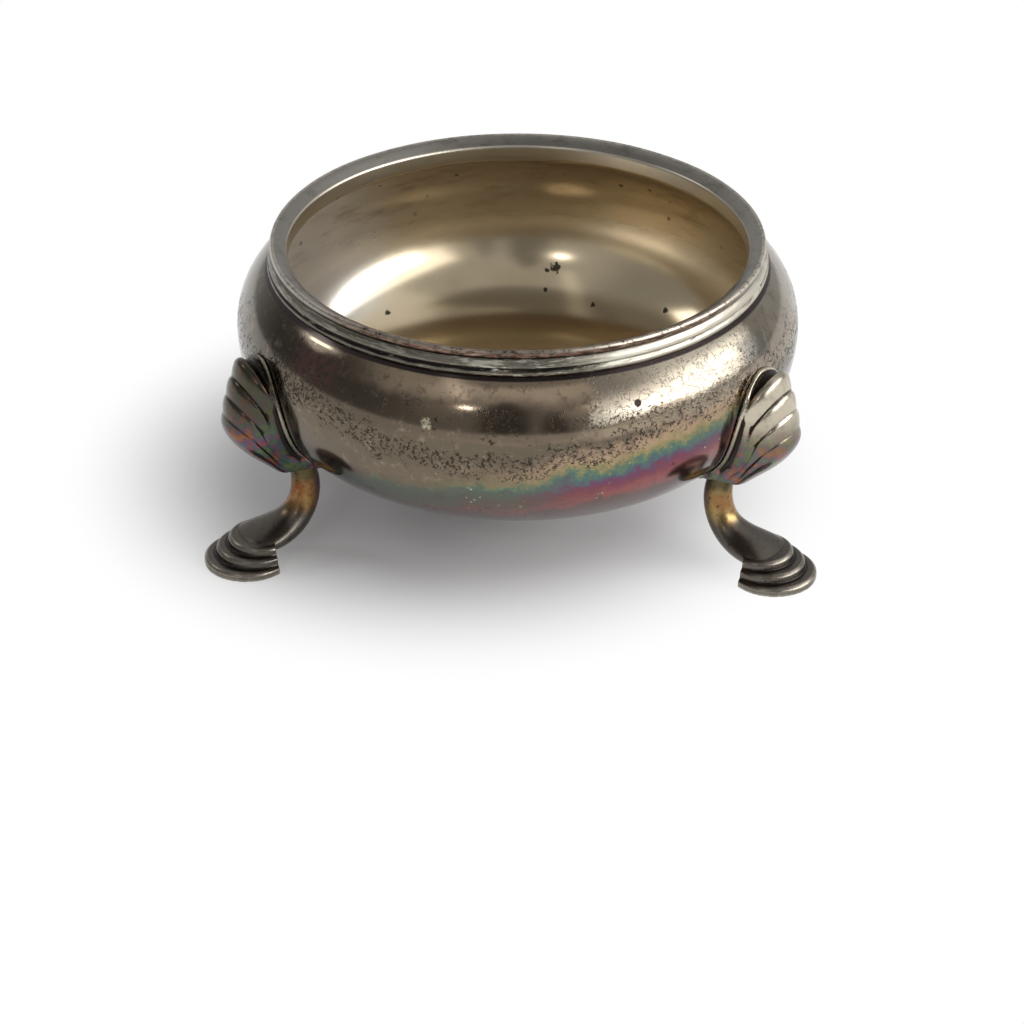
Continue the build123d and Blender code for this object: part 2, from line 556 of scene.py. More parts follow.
    def lay_film(self, s: Surface, wander: Wire, cloud: Wire) -> None:
        """Lays the film of tarnish, with a dark shape in front that is a painted reflection of the
        camera.

        Args:
            s: Graph of the material.
            wander: Slow pattern round 0 that makes edges crooked.
            cloud: Slow pattern from 0 to 1 that makes it uneven.
        """
        grit = s.noise(self.grit) - 0.5
        foot = s.height + wander * 1.5
        s.colour = s.ramp(s.across / self.width + 0.5, self.sides)
        s.lay(cloud.above(0.45, 0.7) * 0.3, self.dark)
        top = (s.height + wander * 3.0).above(*self.top_height) * s.across.within(*self.top_across)
        s.lay(top, self.top)
        # Painted reflection of the camera: a dark shape with a rounded top on the front of the
        # shoulder.
        reflection_crest = s.across.within(*self.reflection_crest_across) * self.reflection_crest_rise + wander * 1.6
        shade = (s.height - reflection_crest + grit * 3.0).above(*self.reflection_top) * foot.above(*self.reflection_foot)
        s.lay(shade * s.across.within(*self.reflection_across) * 0.7, self.dark)
        low = foot.above(*reversed(self.reflection_foot))
        s.lay(low * s.across.above(*self.bronze_across), self.bronze)
        s.lay((s.height + wander * 2.0).above(*self.base_height), self.base)
        s.lay(grit.above(0.02, 0.14) * 0.5, self.dark)
        s.lay(grit.above(-0.04, -0.18) * 0.35, self.bronze_light)

    def band_level(self, s: Surface, wander: Wire) -> Wire:
        """Place in the band of colours, which climbs on the right and sags left of the middle.

        Args:
            s: Graph of the material.
            wander: Slow pattern round 0 that makes edges crooked.

        Returns:
            The place, 0 at the lowest colour and 1 above the band.
        """
        climb = s.math("MAXIMUM", s.across - self.climb_start, 0.0)
        fall = s.math("MAXIMUM", s.across * -1.0 - self.fall_start, 0.0)
        rise = (climb - fall) * self.band_climb - s.across.within(*self.sag_across) * self.sag
        pushed = wander * 2.4 + (s.noise(self.mottle) - 0.5) * 6.5
        return (s.height - self.band_middle - rise + pushed) / self.band_reach + self.band_share

    def lay_band(self, s: Surface, level: Wire) -> None:
        """Lays the band of colours over the film.

        Args:
            s: Graph of the material.
            level: Place in the band.
        """
        blotch = s.noise(self.blotch).above(0.36, 0.6)
        golden = level.above(0.5, 0.62) * s.across.above(*self.golden_across)
        strength = 0.24 + s.across.above(*self.strong_across) * 0.52 + blotch * 0.24
        front = 0.3 + s.turn.within(*self.front_turn) * 0.7
        shown = level.above(0.84, 0.62) * strength * front * (1.0 - golden * 0.8)
        s.lay(shown, s.ramp(level, self.colours))
        green = level.within(0.2, 0.42, 0.1) * s.across.within(*self.moss_across)
        s.lay(green * (0.35 + blotch * 0.4), self.moss)

    def patch(self, s: Surface, wander: Wire, fine: Wire) -> Wire:
        """Mask of the bright patch on the right of the shoulder, with a ragged edge.

        Args:
            s: Graph of the material.
            wander: Slow pattern round 0 that makes edges crooked.
            fine: Fine pattern that makes them ragged.

        Returns:
            The mask.
        """
        ragged = fine * 2.4 - 1.2
        sideways = (s.turn + wander * 22.0 + ragged * 4.0).within(*self.patch_turn)
        drop = s.turn.within(*self.tail_turn) * self.tail_drop
        return sideways * (s.height + drop + wander * 2.0 + ragged * 0.8).within(*self.patch_height)

    def specks(self, s: Surface, wander: Wire, cloud: Wire) -> Wire:
        """Mask of the small crooked specks, which lie thickest along a sagging course round the front.

        Args:
            s: Graph of the material.
            wander: Slow pattern round 0 that makes edges crooked.
            cloud: Slow pattern from 0 to 1 that thins them out in places.

        Returns:
            The mask.
        """
        off = s.across - self.course_middle
        course = s.math("MINIMUM", off * off * self.course_bend + self.course_low, self.course_high)
        away = s.math("ABSOLUTE", s.height - course + wander * 2.0)
        thick = away.above(*self.course_reach) + s.height.within(*self.scatter_height) * 0.25
        worm = s.math("ABSOLUTE", s.noise(self.worm) - 0.5).above(0.075, 0.03)
        broken = s.noise(self.breaks).above(0.44, 0.52)
        clump = s.noise(self.clump) * 1.7 + cloud * 0.3
        return worm * broken * (clump + thick * 0.5).above(1.2, 1.4)

    def lay_marks(self, s: Surface, level: Wire, fine: Wire, dust: Wire) -> None:
        """Lays on top the worn ding with its painted highlight, the dark dot, the small scratches, a
        painted glint along the foot of the neck wire, and painted shade in the joint under it.

        Args:
            s: Graph of the material.
            level: Place in the band of colours.
            fine: Fine pattern that makes the nick crooked.
            dust: Finest pattern, which breaks the nick up.
        """
        # Worn ding painted white as a painted highlight, where a small lamp glints on it.
        nick_highlight = (s.distance(self.nick_highlight) + fine * 1.4).above(*self.nick_highlight_radius)
        s.lay(nick_highlight * dust.above(0.4, 0.5), self.scratch_and_glint)
        s.lay(s.distance(self.dot).above(*self.dot_radius), self.soot)
        scratches = s.specks(self.scratch_size, self.scratch_shift).above(0.16, 0.08)
        scratches = scratches * s.noise(self.scratched).above(0.52, 0.62) * level.above(0.8, 0.6)
        s.lay(scratches * 0.6, self.scratch_and_glint)
        # Painted glint: a short bright line on the shoulder along the foot of the neck wire, on the
        # left.
        glint = s.height.within(*self.glint_height) * s.turn.within(*self.glint_turn)
        s.lay(glint * 0.6, self.scratch_and_glint)
        # Painted shade: a dark ring on the bowl in the joint under the neck wire.
        s.lay(s.height.above(*self.joint_shade_height), self.joint_shade)

    def material(self) -> bpy.types.Material:
        """Makes the material.

        Returns:
            The material.
        """
        s = Surface("bowl_outside")
        wander = s.noise(self.wander) - 0.5
        fine, cloud, dust = (s.noise(pattern) for pattern in (self.fine, self.cloud, self.dust))
        crooked = s.height + wander * 2.0
        self.lay_film(s, wander, cloud)
        bruise = s.turn.within(*self.bruise_turn) * s.height.within(*self.bruise_height)
        s.lay(bruise * fine.above(0.35, 0.6), self.bruise)
        level = self.band_level(s, wander)
        self.lay_band(s, level)
        patch = self.patch(s, wander, fine)
        craze = s.math("ABSOLUTE", s.noise(self.craze) - 0.5).above(0.022, 0.008)
        rubbed = s.height.above(*self.worn_height) * s.turn.above(*self.worn_turn)
        bright = s.mix(rubbed + s.height.above(*self.tail_height), self.clean, self.worn)
        s.lay(patch, s.mix(craze * 0.6, bright, self.dark))
        ash = (s.turn + wander * 10.0).within(*self.ash_turn) * crooked.within(*self.ash_height)
        s.lay(ash * 0.8, self.ash)
        edge = s.math("MAXIMUM", patch * (1.0 - patch), ash * (1.0 - ash)) * 4.0
        edge = edge * dust.above(0.48, 0.6) * s.height.above(*self.edge_soot_height)
        under = crooked.within(*self.soot_height) * (s.turn + wander * 12.0).within(*self.soot_turn)
        specks = self.specks(s, wander, cloud) * (1.0 - patch * 0.75)
        soot = s.math("MINIMUM", specks + edge + dust.above(0.5, 0.58) * under, 1.0)
        s.lay(soot * 0.8, self.soot)
        self.lay_marks(s, level, fine, dust)
        rough = 0.08 + soot * 0.3 + cloud * 0.07 + fine * 0.05 + patch * 0.1
        return s.metal(rough, fine * 0.35 + soot * 0.6 + craze * patch, self.relief)


@dataclass(frozen=True)
class Pit:
    """A dark pit in the film.

    Attributes:
        middle: Its place on the object, in millimetres.
        radius: Its radius in millimetres.
    """

    middle: Spot
    radius: float


@dataclass(frozen=True)
class InsideFinish:
    """Inside of the bowl: an even champagne film, darker in the bottom, with streaks and a few pits."""

    film: Colour = srgb(214, 198, 168)
    pale: Colour = srgb(234, 229, 220)
    bottom: Colour = srgb(180, 162, 130)
    stain: Colour = srgb(160, 136, 102)
    pit: Colour = srgb(30, 25, 20)
    cloud: Pattern = Pattern(11.0, 3.0, 0.5, 21.0)
    streak: Pattern = Pattern(2.2, 4.0, 0.65, 5.0, (0.4, 0.4, 1.6))
    fine: Pattern = Pattern(0.6, 4.0, 0.7, 33.0)
    chip: Pattern = Pattern(0.4, 2.0, 0.6, 44.0)
    dirty: Pattern = Pattern(6.0, shift=31.0)
    pale_across: Range = (-14.0, -24.0)
    bottom_height: Range = (13.8, 12.2)
    bottom_across: Range = (-8.0, -16.0)
    streak_height: Range = (17.0, 25.0)
    throat_height: Range = (30.0, 30.8)
    fleck_size: float = 2.2
    fleck_shift: float = 2.0
    fleck_height: Range = (19.0, 24.0)
    wall_height: Range = (14.0, 24.0)
    relief: float = 0.01
    metallic: float = 0.82
    pits: Tuple[Pit, ...] = (
        Pit((3.2, 28.4, 15.2), 0.65),
        Pit((2.0, 26.6, 13.1), 0.34),
        Pit((7.9, 24.5, 12.3), 0.3),
        Pit((16.7, 21.3, 13.4), 0.4),
        Pit((-16.8, 20.2, 12.7), 0.34),
        Pit((2.0, 28.2, 15.0), 0.34),
    )

    def material(self) -> bpy.types.Material:
        """Makes the material.

        Returns:
            The material.
        """
        s = Surface("bowl_inside", self.film)
        cloud, streak, fine = (s.noise(pattern) for pattern in (self.cloud, self.streak, self.fine))
        crooked = s.noise(self.chip) * 2.2 - 1.1
        s.lay(s.across.above(*self.pale_across), self.pale)
        bottom = s.mix(s.across.above(*self.bottom_across), self.bottom, self.film)
        s.lay(s.height.above(*self.bottom_height), bottom)
        s.lay(cloud.above(0.5, 0.75) * 0.3, self.stain)
        s.lay(streak.above(0.45, 0.75) * s.height.above(*self.streak_height) * 0.6, self.stain)
        s.lay((s.height + streak * 0.4).above(*self.throat_height) * 0.7, self.stain)
        flecks = (s.specks(self.fleck_size, self.fleck_shift) + fine * 0.2).above(0.28, 0.18)
        dirt = flecks * s.noise(self.dirty).above(0.44, 0.54) * s.height.above(*self.fleck_height) * 0.7
        for pit in self.pits:
            away = s.distance(pit.middle) / pit.radius
            dirt = s.math("MAXIMUM", dirt, (away + crooked).above(1.1, 0.7))
        s.lay(dirt * 0.9, self.pit)
        rough = 0.16 + s.height.above(*self.wall_height) * 0.14 + dirt * 0.3
        return s.metal(rough, cloud, self.relief, self.metallic)


@dataclass(frozen=True)
class LipFinish:
    """Turned-out lip: grey, brown towards the front, worn at the bend into the bowl and on its edge,
    with painted highlights along both.
    """

    grey: Colour = srgb(146, 142, 135)
    brown: Colour = srgb(130, 106, 91)
    red: Colour = srgb(122, 82, 74)
    worn: Colour = srgb(206, 198, 182)
    dark: Colour = srgb(50, 41, 35)
    streak: Pattern = Pattern(1.4, 4.0, 0.65, 24.0, (0.4, 0.4, 1.0))
    fine: Pattern = Pattern(0.5, 3.0, 0.6, 7.0)
    blotch: Pattern = Pattern(1.3, 4.0, 0.7, 52.0)
    grime: Streaks = Streaks(1.4, 0.3, 6.0)
    front_turn: Span = (-28.0, 46.0, 24.0)
    right_turn: Span = (30.0, 75.0, 25.0)
    bright_bend_radius: Range = (26.25, 26.17)
    bright_edge_radius: Range = (27.65, 27.8)
    bright_edge_height: Range = (32.9, 33.08)
    foot_radius: Range = (27.0, 27.3)
    foot_height: Range = (32.7, 32.45)
    relief: float = 0.006

    def material(self) -> bpy.types.Material:
        """Makes the material.

        Returns:
            The material.
        """
        s = Surface("bowl_lip", self.grey)
        streak, fine, blotch = (s.noise(pattern) for pattern in (self.streak, self.fine, self.blotch))
        grime = s.streaks(self.grime)
        front = s.turn.within(*self.front_turn)
        right = s.turn.within(*self.right_turn)
        s.lay(front, self.brown)
        s.lay(blotch.above(0.54, 0.6) * front * 0.7, self.red)
        s.lay(blotch.above(0.47, 0.42) * (0.05 + front * 0.55), self.dark)
        s.lay(streak.above(0.5, 0.66) * (0.3 + front * 0.4), self.dark)
        s.lay(grime.above(0.5, 0.57) * front * 0.75, self.dark)
        s.lay(grime.above(0.44, 0.38) * front * 0.35, self.worn)
        # Worn silver and a painted highlight: a pale line at the bend into the bowl.
        s.lay(s.radius.above(*self.bright_bend_radius) * 0.8, self.worn)
        # Worn silver and a painted highlight: a patchy pale line on the outer edge, strongest on the
        # right.
        edge = (s.radius + fine * 0.3).above(*self.bright_edge_radius) * s.height.above(*self.bright_edge_height)
        s.lay(edge * (0.6 + right * 0.3 - front * 0.2) * fine.above(0.36, 0.5), self.worn)
        foot = (s.height + fine * 0.2).above(*self.foot_height) * s.radius.above(*self.foot_radius)
        s.lay(foot, self.dark)
        return s.metal(0.26 + fine * 0.14, blotch, self.relief)


@dataclass(frozen=True)
class WireFinish:
    """Neck wire: flaking film, dark in its grooves and in streaks, worn and lightened with painted
    light on the right, and darkened with painted shade on the left and at its foot.
    """

    worn: Colour = srgb(196, 189, 174)
    top: Colour = srgb(118, 117, 105)
    film: Colour = srgb(122, 114, 94)
    olive: Colour = srgb(120, 113, 84)
    brown: Colour = srgb(92, 76, 64)
    dull: Colour = srgb(84, 81, 74)
    shade: Colour = srgb(62, 60, 54)
    pale: Colour = srgb(204, 204, 190)
    dark: Colour = srgb(38, 36, 34)
    fine: Pattern = Pattern(0.5, 3.0, 0.6, 4.0)
    streak: Streaks = Streaks(2.6, 0.3, 1.0)
    blot: Streaks = Streaks(7.0, 1.6, 2.0)
    grime: Streaks = Streaks(1.2, 0.25, 3.0)
    flake: Streaks = Streaks(5.0, 0.6, 8.0)
    gap: Streaks = Streaks(4.0, 0.5, 11.0)
    right_turn: Span = (34.0, 75.0, 22.0)
    left_turn: Span = (-120.0, -25.0, 30.0)
    top_height: Range = (31.1, 31.3)
    dull_height: Span = (31.1, 31.7, 0.2)
    line_height: Span = (31.0, 31.4, 0.12)
    joint_shade_height: Range = (30.45, 30.3)
    ridge: Range = (0.05, 0.08)
    groove: Range = (0.0, -0.03)
    relief: float = 0.014

    def material(self) -> bpy.types.Material:
        """Makes the material.

        Returns:
            The material.
        """
        s = Surface("neck_wire", self.film)
        relief, fine = s.relief(), s.noise(self.fine)
        streak, blot, grime = (s.streaks(streaks) for streaks in (self.streak, self.blot, self.grime))
        flake, gap = (s.streaks(streaks).above(0.53, 0.55) for streaks in (self.flake, self.gap))
        right = s.turn.within(*self.right_turn)
        left = s.turn.within(*self.left_turn)
        s.lay(s.height.above(*self.top_height), self.top)
        s.lay(blot.above(0.48, 0.56) * (0.7 - right * 0.5), self.olive)
        s.lay(s.height.within(*self.dull_height) * (0.7 - right * 0.5), self.dull)
        # Painted shade: the left side of the wire darkened.
        s.lay(left * 0.9, self.shade)
        # Worn silver and painted light: the right side of the wire lightened.
        s.lay(right * 0.75, self.worn)
        s.lay((streak - right * 0.08).above(0.49, 0.56) * 0.8, self.dark)
        s.lay((grime - right * 0.06).above(0.52, 0.58) * 0.6, self.brown)
        s.lay(grime.above(0.45, 0.39) * (0.6 - left * 0.4), self.worn)
        s.lay(flake * (0.9 - left * 0.5), self.pale)
        s.lay(gap * (0.85 - right * 0.6), self.dark)
        broken = (blot * 0.6 + grime * 0.4 - right * 0.2).above(0.44, 0.48)
        s.lay(s.height.within(*self.line_height) * broken, self.dark)
        # Worn ridges, made brighter on the right as painted light.
        s.lay((relief + streak * 0.04).above(*self.ridge) * (0.25 + right * 0.6), self.worn)
        s.lay((relief + fine * 0.01).above(*self.groove) * 0.8, self.dark)
        # Painted shade: the foot of the wire darkened where it meets the bowl.
        s.lay((s.height + fine * 0.1).above(*self.joint_shade_height), self.dark)
        rough = 0.26 + grime * 0.2 + flake * 0.1
        return s.metal(rough, streak + grime + flake * 0.6, self.relief)


@dataclass(frozen=True)
class KneeFinish:
    """Cast shell knees: grey silver, lighter on the right knee and darker on the left as painted light
    and shade, dark in the grooves, with flecks of colour low down.
    """

    worn: Colour = srgb(206, 197, 178)
    film: Colour = srgb(200, 190, 171)
    olive: Colour = srgb(124, 113, 92)
    # painted shade: colour of the left knee, darker than the film of the right knee
    left: Colour = srgb(74, 70, 57)
    dull: Colour = srgb(80, 73, 64)
    dark: Colour = srgb(44, 39, 34)
    colours: Stops = (
        (0.3, srgb(138, 124, 72)),
        (0.42, srgb(88, 116, 84)),
        (0.48, srgb(78, 96, 112)),
        (0.54, srgb(132, 76, 108)),
        (0.6, srgb(160, 94, 66)),
        (0.72, srgb(142, 126, 78)),
    )
    cloud: Pattern = Pattern(3.0, 3.0, 0.6, 8.0)
    fine: Pattern = Pattern(0.7, 4.0, 0.65, 2.0)
    flecks: Pattern = Pattern(1.6, 4.0, 0.65, 17.0)
    olive_height: Range = (21.5, 17.5)
    shaded_knee_across: Range = (10.0, -10.0)
    fleck_height: Range = (21.0, 15.5)
    fleck_across: Range = (5.0, -5.0)
    ridge: Range = (0.13, 0.22)
    groove: Range = (0.0, -0.05)
    relief: float = 0.02

    def material(self) -> bpy.types.Material:
        """Makes the material.

        Returns:
            The material.
        """
        s = Surface("cast_knee", self.film)
        relief = s.relief()
        cloud, fine, flecks = (s.noise(pattern) for pattern in (self.cloud, self.fine, self.flecks))
        lower = (s.height + cloud * 3.0 - 1.5).above(*self.olive_height)
        s.lay(lower, self.olive)
        # Painted shade: the left knee darker than the right, which keeps the light film.
        s.lay(s.across.above(*self.shaded_knee_across), self.left)
        s.lay(cloud.above(0.45, 0.65) * 0.45, self.dull)
        low = (s.height + cloud * 4.0 - 2.0).above(*self.fleck_height)
        tinted = low * 0.6 + s.across.above(*self.fleck_across) * 0.1
        s.lay(tinted, s.ramp(flecks, self.colours))
        s.lay((relief + fine * 0.05).above(*self.ridge) * 0.5, self.worn)
        s.lay((relief + fine * 0.03).above(*self.groove), self.dark)
        return s.metal(0.16 + fine * 0.16, fine, self.relief)


@dataclass(frozen=True)
class LegFinish:
    """Cast legs: golden and violet on the shank, dark on the foot, worn on the lobes' edges."""

    worn: Colour = srgb(160, 153, 140)
    gold: Colour = srgb(154, 130, 86)
    ember: Colour = srgb(146, 104, 68)
    rust: Colour = srgb(116, 68, 40)
    violet: Colour = srgb(112, 90, 104)
    olive: Colour = srgb(94, 84, 60)
    foot: Colour = srgb(100, 94, 87)
    dark: Colour = srgb(28, 26, 24)
    cloud: Pattern = Pattern(2.2, 3.0, 0.6, 12.0)
    fine: Pattern = Pattern(0.6, 4.0, 0.65, 6.0)
    rust_across: Range = (4.0, -6.0)
    inner_radius: Range = (27.0, 26.0)
    ankle_height: Range = (8.6, 10.0)
    foot_height: Range = (6.4, 4.8)
    groove: Range = (0.0, -0.08)
    ridge: Range = (0.11, 0.17)
    relief: float = 0.02

    def material(self) -> bpy.types.Material:
        """Makes the material.

        Returns:
            The material.
        """
        s = Surface("cast_leg", self.gold)
        cloud, fine = s.noise(self.cloud), s.noise(self.fine)
        crooked = s.relief() + fine * 0.04
        s.lay(cloud.above(0.48, 0.64) * 0.8, self.ember)
        rusty = s.across.above(*self.rust_across) * (0.4 + cloud.above(0.4, 0.6) * 0.5)
        s.lay(rusty, self.rust)
        inner = (s.radius - cloud * 1.6 + 0.8).above(*self.inner_radius)
        s.lay(inner * 0.8, self.violet)
        s.lay((s.height + cloud * 2.0 - 1.0).above(*self.ankle_height), self.olive)
        s.lay((s.height + cloud * 2.4 - 1.2).above(*self.foot_height), self.foot)
        s.lay(fine.above(0.58, 0.7) * 0.6, self.dark)
        s.lay(crooked.above(*self.groove) * 0.8, self.dark)
        s.lay(crooked.above(*self.ridge) * 0.8, self.worn)
        return s.metal(0.2 + fine * 0.18, fine, self.relief)


def mark_relief(data: bpy.types.Mesh, passes: int) -> None:
    """Marks how far each point of a mesh stands out of the surface round it, in millimetres.

    Args:
        data: The mesh.
        passes: How often its points are evened out to find that surface.
    """
    count = len(data.vertices)
    spots = numpy.empty(count * 3)
    data.vertices.foreach_get("co", spots)
    spots = spots.reshape(-1, 3) / MM
    ways = numpy.empty(count * 3)
    data.vertex_normals.foreach_get("vector", ways)
    pairs = numpy.empty(len(data.edges) * 2, dtype=numpy.int32)
    data.edges.foreach_get("vertices", pairs)
    pairs = pairs.reshape(-1, 2)
    ends = numpy.concatenate((pairs[:, 0], pairs[:, 1]))
    others = numpy.concatenate((pairs[:, 1], pairs[:, 0]))
    share = numpy.bincount(ends, minlength=count)
    even = spots
    for _ in range(passes):
        sums = [numpy.bincount(ends, weights=even[others, axis], minlength=count) for axis in range(3)]
        even = numpy.stack(sums, axis=1) / share[:, None]
    height = ((spots - even) * ways.reshape(-1, 3)).sum(axis=1)
    data.attributes.new(RELIEF, "FLOAT", "POINT").data.foreach_set("value", height)


def arc(middle: Point, radius: float, start: float, end: float, step: float) -> List[Point]:
    """Points on an arc, both ends included.

    Args:
        middle: Centre of the arc.
        radius: Its radius.
        start: First angle in degrees.
        end: Last angle in degrees.
        step: Longest distance between points.

    Returns:
        The points.
    """
    count = max(2, math.ceil(abs(math.radians(end - start)) * radius / step))
    angles = [math.radians(start + (end - start) * i / count) for i in range(count + 1)]
    return [(middle[0] + radius * math.cos(a), middle[1] + radius * math.sin(a)) for a in angles]


def bow(start: Point, end: Point, rise: float, count: int) -> List[Point]:
    """Points on a shallow curve, both ends included.

    Args:
        start: First point.
        end: Last point.
        rise: How far it bulges to the left of the way.
        count: Number of stretches.

    Returns:
        The points.
    """
    along = Vector(end) - Vector(start)
    left = Vector((-along.y, along.x)).normalized()
    points = []
    for i in range(count + 1):
        share = i / count
        at = Vector(start) + along * share + left * rise * 4 * share * (1 - share)
        points.append((at.x, at.y))
    return points


def straight(start: Point, end: Point, step: float) -> List[Point]:
    """Points on a straight line, both ends included."""
    return bow(start, end, 0.0, max(1, math.ceil((Vector(end) - Vector(start)).length / step)))


@dataclass
class Turned:
    """A round piece made by turning an outline about the upright axis."""

    name: str
    node: str
    slot: Slot
    segments: int = 288
    wave_size: float = 11.0
    wave_depth: float = 0.03

    def spin(
        self, outline: Sequence[Point], closed: bool, finish: Callable[[int], int]
    ) -> bpy.types.Object:
        """Turns an outline into a mesh object that takes its CAD node's place.

        Args:
            outline: Points as radius and height, in millimetres, with the piece on their left.
            closed: Whether the last point joins the first.
            finish: Gives a material's number from the number of a stretch of the outline.

        Returns:
            The object.
        """
        mesh = bmesh.new()
        rows = []
        for radius, height in outline:
            if radius == 0.0:
                rows.append([mesh.verts.new((0.0, 0.0, height * MM))] * self.segments)
                continue
            row = []
            for i in range(self.segments):
                angle = 2 * math.pi * i / self.segments
                spot = Vector((radius * math.cos(angle), radius * math.sin(angle), height))
                wave = noise.noise(spot / self.wave_size) * self.wave_depth
                row.append(mesh.verts.new(spot * (1 + wave / radius) * MM))
            rows.append(row)
        pairs = list(zip(rows, rows[1:]))
        if closed:
            pairs.append((rows[-1], rows[0]))
        for stretch, (low, high) in enumerate(pairs):
            for i in range(self.segments):
                j = (i + 1) % self.segments
                corners = list(dict.fromkeys((low[i], low[j], high[j], high[i])))
                face = mesh.faces.new(corners)
                face.smooth = True
                face.material_index = finish(stretch)
        data = bpy.data.meshes.new(self.name)
        mesh.to_mesh(data)
        mesh.free()
        piece = bpy.data.objects.new(self.name, data)
        bpy.context.scene.collection.objects.link(piece)
        return seat(piece, self.node)


def seat(piece: bpy.types.Object, node: str) -> bpy.types.Object:
    """Lets a piece ride on the body and stand for its CAD node.

    Args:
        piece: The piece.
        node: Its CAD node.

    Returns:
        The piece.
    """
    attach(piece, "root")
    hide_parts(node)
    LOG.info("%s stands for %s with %d faces", piece.name, node, len(piece.data.polygons))
    return piece


@dataclass
class Bowl(Turned):
    """The raised bowl with its turned-out lip. Sizes in millimetres."""

    name: str = "raised_bowl"
    node: str = "bowl"
    slot: Slot = Slot.BOWL
    belly_height: float = 23.05
    floor_slope: float = 9.0
    shoulder_in: float = 3.5
    shoulder_rise: float = 7.05
    sheet_wall: float = 0.9
    moulding_width: float = 1.55
    lip_bend: float = 0.55
    lip_flat: float = 0.35
    lip_round: float = 0.2
    lip_rounds: int = 12
    lip_dish: float = 25.0
    lip_swell: float = 0.1
    lip_inner_round: float = 0.5
    throat_round: float = 0.6
    step: float = 0.5
    fine_step: float = 0.08

    def __post_init__(self) -> None:
        """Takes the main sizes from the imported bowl."""
        low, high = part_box(self.node)
        self.belly_radius = high.y / MM
        self.underside = low.z / MM
        self.lip_height = high.z / MM
        self.seat_radius = self.belly_radius - self.shoulder_in
        self.neck_radius = self.seat_radius - self.moulding_width
        self.shoulder_radius = (self.shoulder_in**2 + self.shoulder_rise**2) / (2 * self.shoulder_in)
        self.shoulder_middle = (self.belly_radius - self.shoulder_radius, self.belly_height)
        ratio = math.tan(math.radians(self.floor_slope) / 2)
        self.bilge = (self.belly_height - self.underside - self.belly_radius * ratio) / (1 - ratio)
        self.bilge_middle = (self.belly_radius - self.bilge, self.belly_height)
        self.under_lip = self.lip_height - self.sheet_wall
        self.bend = (self.neck_radius + self.lip_bend, self.under_lip - self.lip_bend)
        self.lip_radius = self.bend[0] + self.lip_flat

    def shoulder_at(self, inset: float, radius: float) -> float:
        """Height of the shoulder, moved inwards by inset, at a radius."""
        reach = radius - self.shoulder_middle[0]
        return self.belly_height + math.sqrt((self.shoulder_radius - inset) ** 2 - reach**2)

    def from_curve(self, spot: Vector) -> Tuple[Vector, float]:
        """Way from the middle of the belly's curve to a point.

        Args:
            spot: The point, in millimetres.

        Returns:
            That way, and the curve's radius there.
        """
        high = spot.z > self.belly_height
        middle = self.shoulder_middle if high else self.bilge_middle
        round_axis = Vector((spot.x, spot.y, 0.0)).normalized()
        at = round_axis * middle[0] + Vector((0.0, 0.0, middle[1]))
        return spot - at, self.shoulder_radius if high else self.bilge

    def clear_of_belly(self, spot: Vector) -> float:
        """How far a point lies outside the bilge or the shoulder, in millimetres."""
        way, reach = self.from_curve(spot)
        return way.length - reach

    def outwards(self, spot: Vector) -> Vector:
        """Direction straight out of the belly at a point."""
        return self.from_curve(spot)[0].normalized()

    def belly(self, inset: float, round_off: float = 0.0) -> List[Point]:
        """Outline of floor, bilge and shoulder up to the neck.

        Args:
            inset: How far it is moved inwards.
            round_off: Radius of a rounding that joins it to the neck.

        Returns:
            Points from the middle of the floor to the neck, or to that rounding.
        """
        bilge, bilge_middle = self.bilge, self.bilge_middle
        floor = bilge + bilge_middle[0] / math.sin(math.radians(self.floor_slope))
        floor_end = self.floor_slope - 90
        reach = self.neck_radius - inset + round_off - self.shoulder_middle[0]
        neck = math.degrees(math.acos(reach / (self.shoulder_radius - inset + round_off)))
        return (
            arc((0, self.underside + floor), floor - inset, -90, floor_end, self.step)
            + arc(bilge_middle, bilge - inset, floor_end, 0, self.step)[1:]
            + arc(self.shoulder_middle, self.shoulder_radius - inset, 0, neck, self.step)[1:]
        )

    def lip(self, edge: Point) -> List[Point]:
        """Outline of the lip's top, which slopes down into the bowl.

        Args:
            edge: Upper end of the lip's outer edge.

        Returns:
            Points from there to the throat.
        """
        dish = math.radians(self.lip_dish)
        middle = self.neck_radius - self.sheet_wall + self.lip_inner_round
        inner = middle - self.lip_inner_round * math.sin(dish)
        end = (inner, edge[1] - (edge[0] - inner) * math.tan(dish))
        rounding = (middle, end[1] - self.lip_inner_round * math.cos(dish))
        slope = bow(edge, end, -self.lip_swell, self.lip_rounds)[1:]
        return slope + arc(rounding, self.lip_inner_round, 90 + self.lip_dish, 180, self.fine_step)[1:]

    def throat(self) -> List[Point]:
        """Outline of the rounding between the inside of the neck and the shoulder.

        Returns:
            Points from the neck to the shoulder.
        """
        reach = self.neck_radius - self.sheet_wall + self.throat_round
        away = reach - self.shoulder_middle[0]
        rise = math.sqrt((self.shoulder_radius - self.sheet_wall + self.throat_round) ** 2 - away**2)
        middle = (reach, self.shoulder_middle[1] + rise)
        end = 180 + math.degrees(math.atan2(rise, away))
        return arc(middle, self.throat_round, 180, end, self.fine_step)

